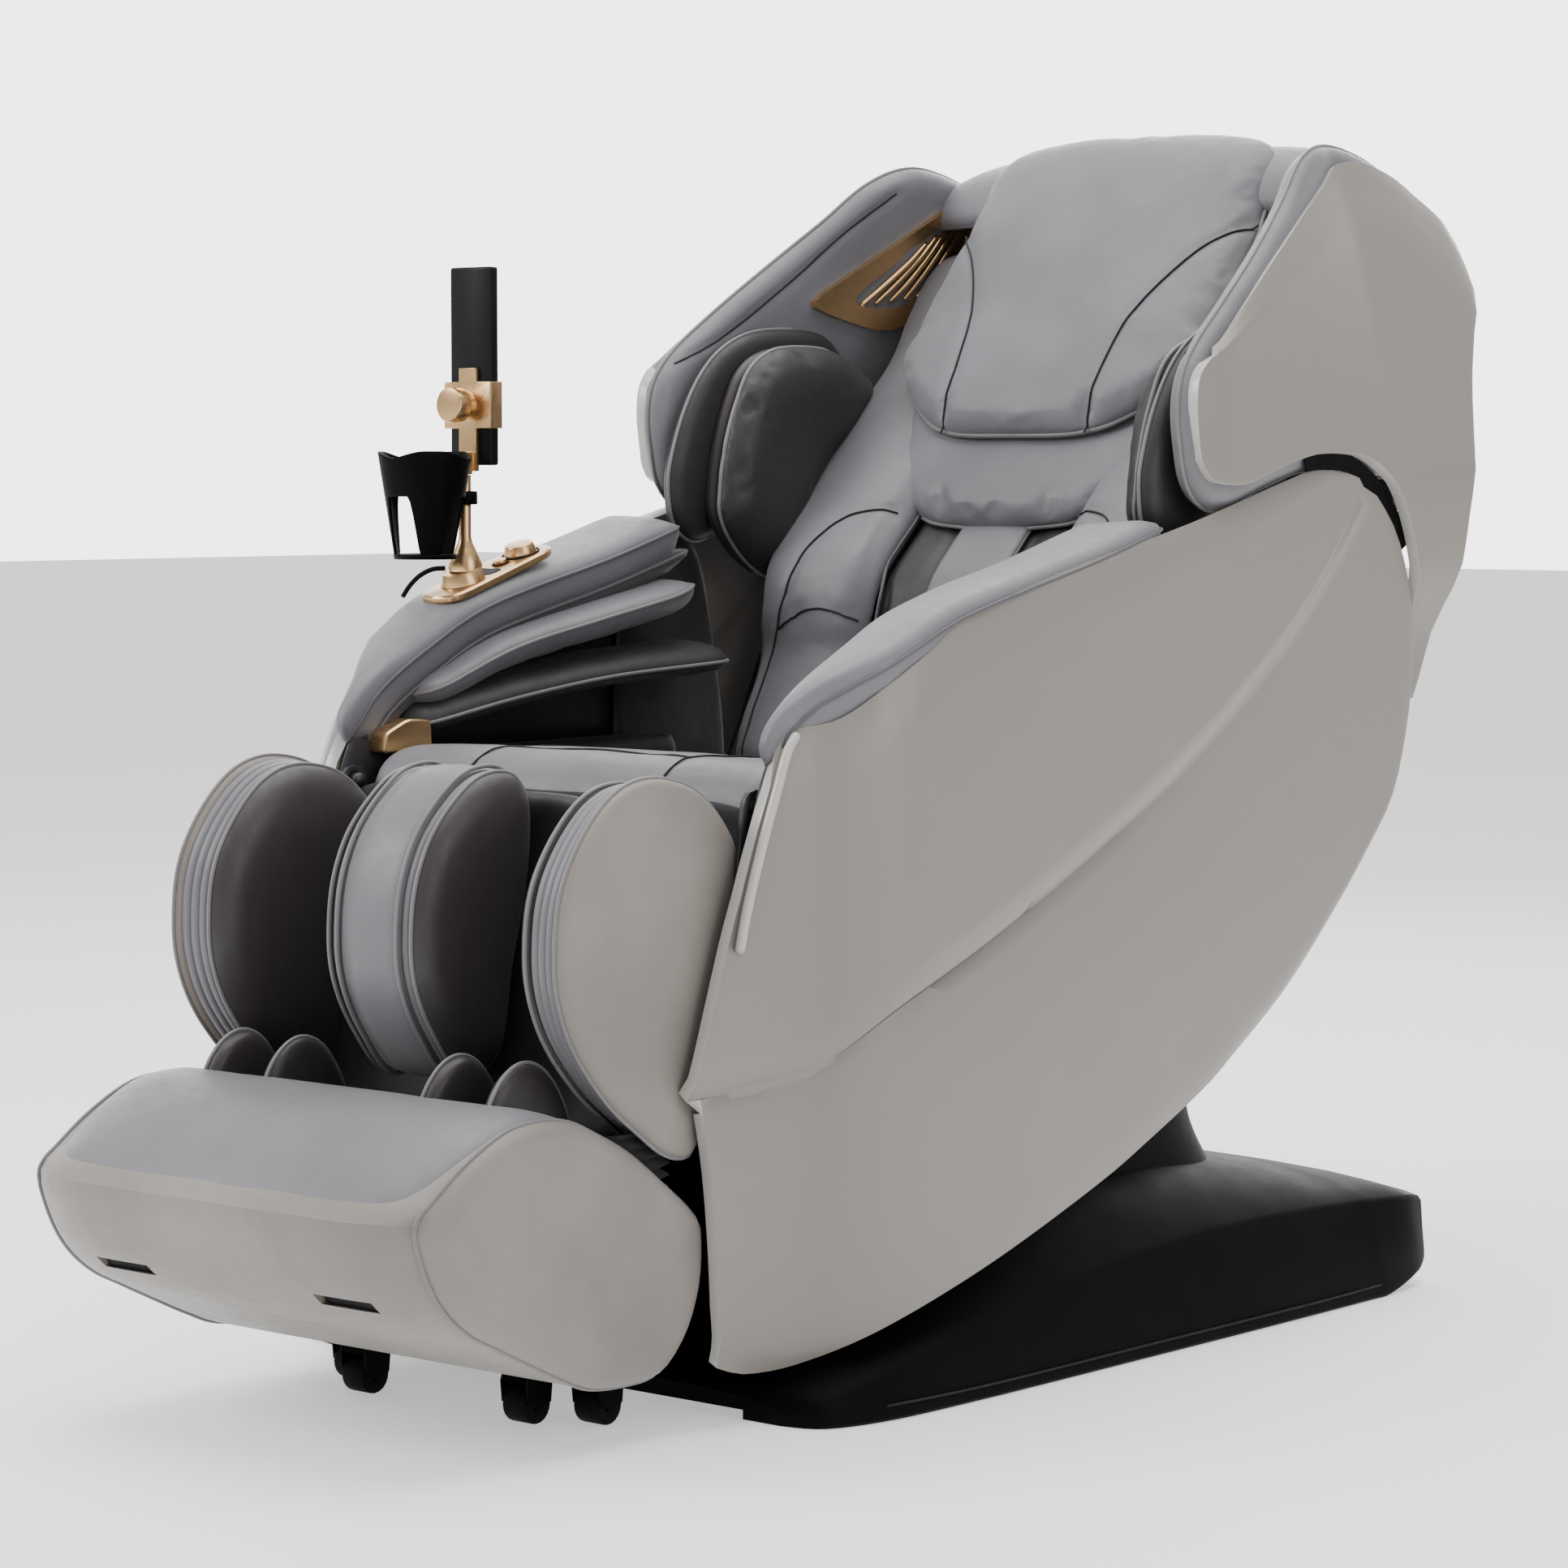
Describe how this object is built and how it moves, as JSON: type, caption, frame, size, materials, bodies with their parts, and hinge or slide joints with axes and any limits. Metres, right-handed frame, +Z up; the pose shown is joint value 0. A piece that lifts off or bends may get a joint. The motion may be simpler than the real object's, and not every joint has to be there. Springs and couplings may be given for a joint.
{
  "type": "massage chair",
  "caption": "Reclining full-body massage chair with curved side shells, airbag arms, calf and foot rests, shoulder wings, head pillow and an arm post with cup and controller holders.",
  "frame": {"origin": "centre of the base's underside, on the floor", "axes": "+Z up; the sitter faces -Y; +X is the sitter's left; +Y runs from the foot rest to the back"},
  "size_m": [0.776, 1.5852, 1.2271],
  "materials": {
    "shell": "warm greige painted plastic with a soft gloss",
    "leather": "cool grey synthetic leather, fine grain",
    "leather_dark": "darker taupe-grey synthetic leather on inner faces",
    "leather_pale": "pale beige synthetic leather",
    "gold": "satin champagne gold plating",
    "black_plastic": "black moulded plastic, satin",
    "steel": "grey painted welded steel",
    "rubber": "black rubber"
  },
  "bodies": {
    "base": {"base_cover": "black_plastic", "base_frame": "steel", "air_pump": "steel", "tilt_motor": "black_plastic", "power_inlet": "black_plastic"},
    "switch": {"power_switch": "rubber"},
    "wheel_left": {"rear_wheel_left": "rubber"},
    "wheel_right": {"rear_wheel_right": "rubber"},
    "seat": {"side_panel_left": "shell", "side_panel_right": "shell", "arm_pad_left": "leather", "arm_pad_right": "leather", "arm_core_left": "leather_dark", "arm_core_right": "leather_dark", "arm_airbag_upper_left": "leather", "arm_airbag_upper_right": "leather", "arm_airbag_lower_left": "leather_dark", "arm_airbag_lower_right": "leather_dark", "hand_grip_left": "gold", "hand_grip_right": "gold", "control_plate": "gold", "controller_post": "gold", "controller_lead": "rubber", "seat_cushion": "leather", "seat_frame": "steel"},
    "dial": {"control_knob": "gold"},
    "button": {"control_button": "gold"},
    "cup": {"cup_holder": "black_plastic"},
    "bracket": {"controller_bracket": "gold", "controller": "black_plastic"},
    "clamp_knob": {"bracket_knob": "gold"},
    "backrest": {"wing_left": "shell", "wing_right": "shell", "wing_pad_left": "leather", "wing_pad_right": "leather", "speaker_grille_left": "gold", "speaker_grille_right": "gold", "shoulder_airbag_left": "leather_dark", "shoulder_airbag_right": "leather_dark", "back_pad": "leather_dark", "neck_pad": "leather", "crown_pad": "leather", "rear_shell": "shell", "back_frame": "steel"},
    "pillow": {"head_pillow": "leather"},
    "massage_head": {"massage_carriage": "steel"},
    "rollers": {"kneading_rollers": "rubber"},
    "calf_rest": {"calf_frame": "black_plastic", "calf_pad": "leather_dark", "calf_bolster_left": "leather", "calf_bolster_right": "leather", "calf_bolster_middle": "leather"},
    "foot_rest": {"foot_shell": "leather_pale", "foot_rods": "steel", "foot_pad": "leather"},
    "caster_outer_left": {"caster_outer_left": "rubber"},
    "caster_outer_right": {"caster_outer_right": "rubber"},
    "caster_inner_left": {"caster_inner_left": "rubber"},
    "caster_inner_right": {"caster_inner_right": "rubber"}
  },
  "joints": [
    {"name": "seat_tilt", "type": "hinge", "parent": "base", "child": "seat", "pos_m": [0, 0.06, 0.322], "axis": [-1, 0, 0], "range_deg": [0, 15]},
    {"name": "backrest_recline", "type": "hinge", "parent": "seat", "child": "backrest", "pos_m": [0, 0.3, 0.718], "axis": [-1, 0, 0], "range_deg": [0, 28]},
    {"name": "pillow_flip", "type": "hinge", "parent": "backrest", "child": "pillow", "pos_m": [0, 0.452, 1.206], "axis": [-1, 0, 0], "range_deg": [0, 95]},
    {"name": "massage_travel", "type": "slide", "parent": "backrest", "child": "massage_head", "axis": [0, 0.5928, 0.8054], "range_m": [-0.08, 0.025]},
    {"name": "knead_turn", "type": "hinge", "parent": "massage_head", "child": "rollers", "pos_m": [0, 0.36428, 0.88904], "axis": [1, 0, 0], "continuous": true},
    {"name": "leg_lift", "type": "hinge", "parent": "seat", "child": "calf_rest", "pos_m": [0, -0.47, 0.575], "axis": [-1, 0, 0], "range_deg": [0, 70]},
    {"name": "foot_extend", "type": "slide", "parent": "calf_rest", "child": "foot_rest", "axis": [0, -0.22, -0.9755], "range_m": [0, 0.12]},
    {"name": "cup_swivel", "type": "hinge", "parent": "seat", "child": "cup", "pos_m": [-0.306, -0.268, 0.855], "axis": [0, 0, 1], "range_deg": [-20, 20]},
    {"name": "bracket_swivel", "type": "hinge", "parent": "seat", "child": "bracket", "pos_m": [-0.306, -0.268, 0.88], "axis": [0, 0, 1], "range_deg": [-25, 25]},
    {"name": "clamp_knob_turn", "type": "hinge", "parent": "bracket", "child": "clamp_knob", "pos_m": [-0.306, -0.28, 0.9505], "axis": [0, -1, 0], "continuous": true},
    {"name": "dial_turn", "type": "hinge", "parent": "seat", "child": "dial", "pos_m": [-0.306, -0.18709, 0.80169], "axis": [0, -0.306, 0.952], "continuous": true},
    {"name": "button_press", "type": "slide", "parent": "seat", "child": "button", "axis": [0, 0.306, -0.952], "range_m": [0, 0.0015], "stiffness_N_per_m": 400},
    {"name": "switch_rock", "type": "hinge", "parent": "base", "child": "switch", "pos_m": [-0.08, 0.552, 0.056], "axis": [1, 0, 0], "range_deg": [-7, 7]},
    {"name": "rear_wheel_left_spin", "type": "hinge", "parent": "base", "child": "wheel_left", "pos_m": [0.29, 0.508, 0.027], "axis": [1, 0, 0], "continuous": true},
    {"name": "rear_wheel_right_spin", "type": "hinge", "parent": "base", "child": "wheel_right", "pos_m": [-0.29, 0.508, 0.027], "axis": [1, 0, 0], "continuous": true},
    {"name": "caster_outer_left_roll", "type": "hinge", "parent": "foot_rest", "child": "caster_outer_left", "pos_m": [0.16, -0.572, 0.0186], "axis": [1, 0, 0], "continuous": true},
    {"name": "caster_outer_right_roll", "type": "hinge", "parent": "foot_rest", "child": "caster_outer_right", "pos_m": [-0.16, -0.572, 0.0186], "axis": [1, 0, 0], "continuous": true},
    {"name": "caster_inner_left_roll", "type": "hinge", "parent": "foot_rest", "child": "caster_inner_left", "pos_m": [0.107, -0.612, 0.0186], "axis": [1, 0, 0], "continuous": true},
    {"name": "caster_inner_right_roll", "type": "hinge", "parent": "foot_rest", "child": "caster_inner_right", "pos_m": [-0.107, -0.612, 0.0186], "axis": [1, 0, 0], "continuous": true}
  ],
  "couplings": [
    {"joint": "foot_extend", "follows": "leg_lift", "m_per_rad": 0.098212}
  ]
}
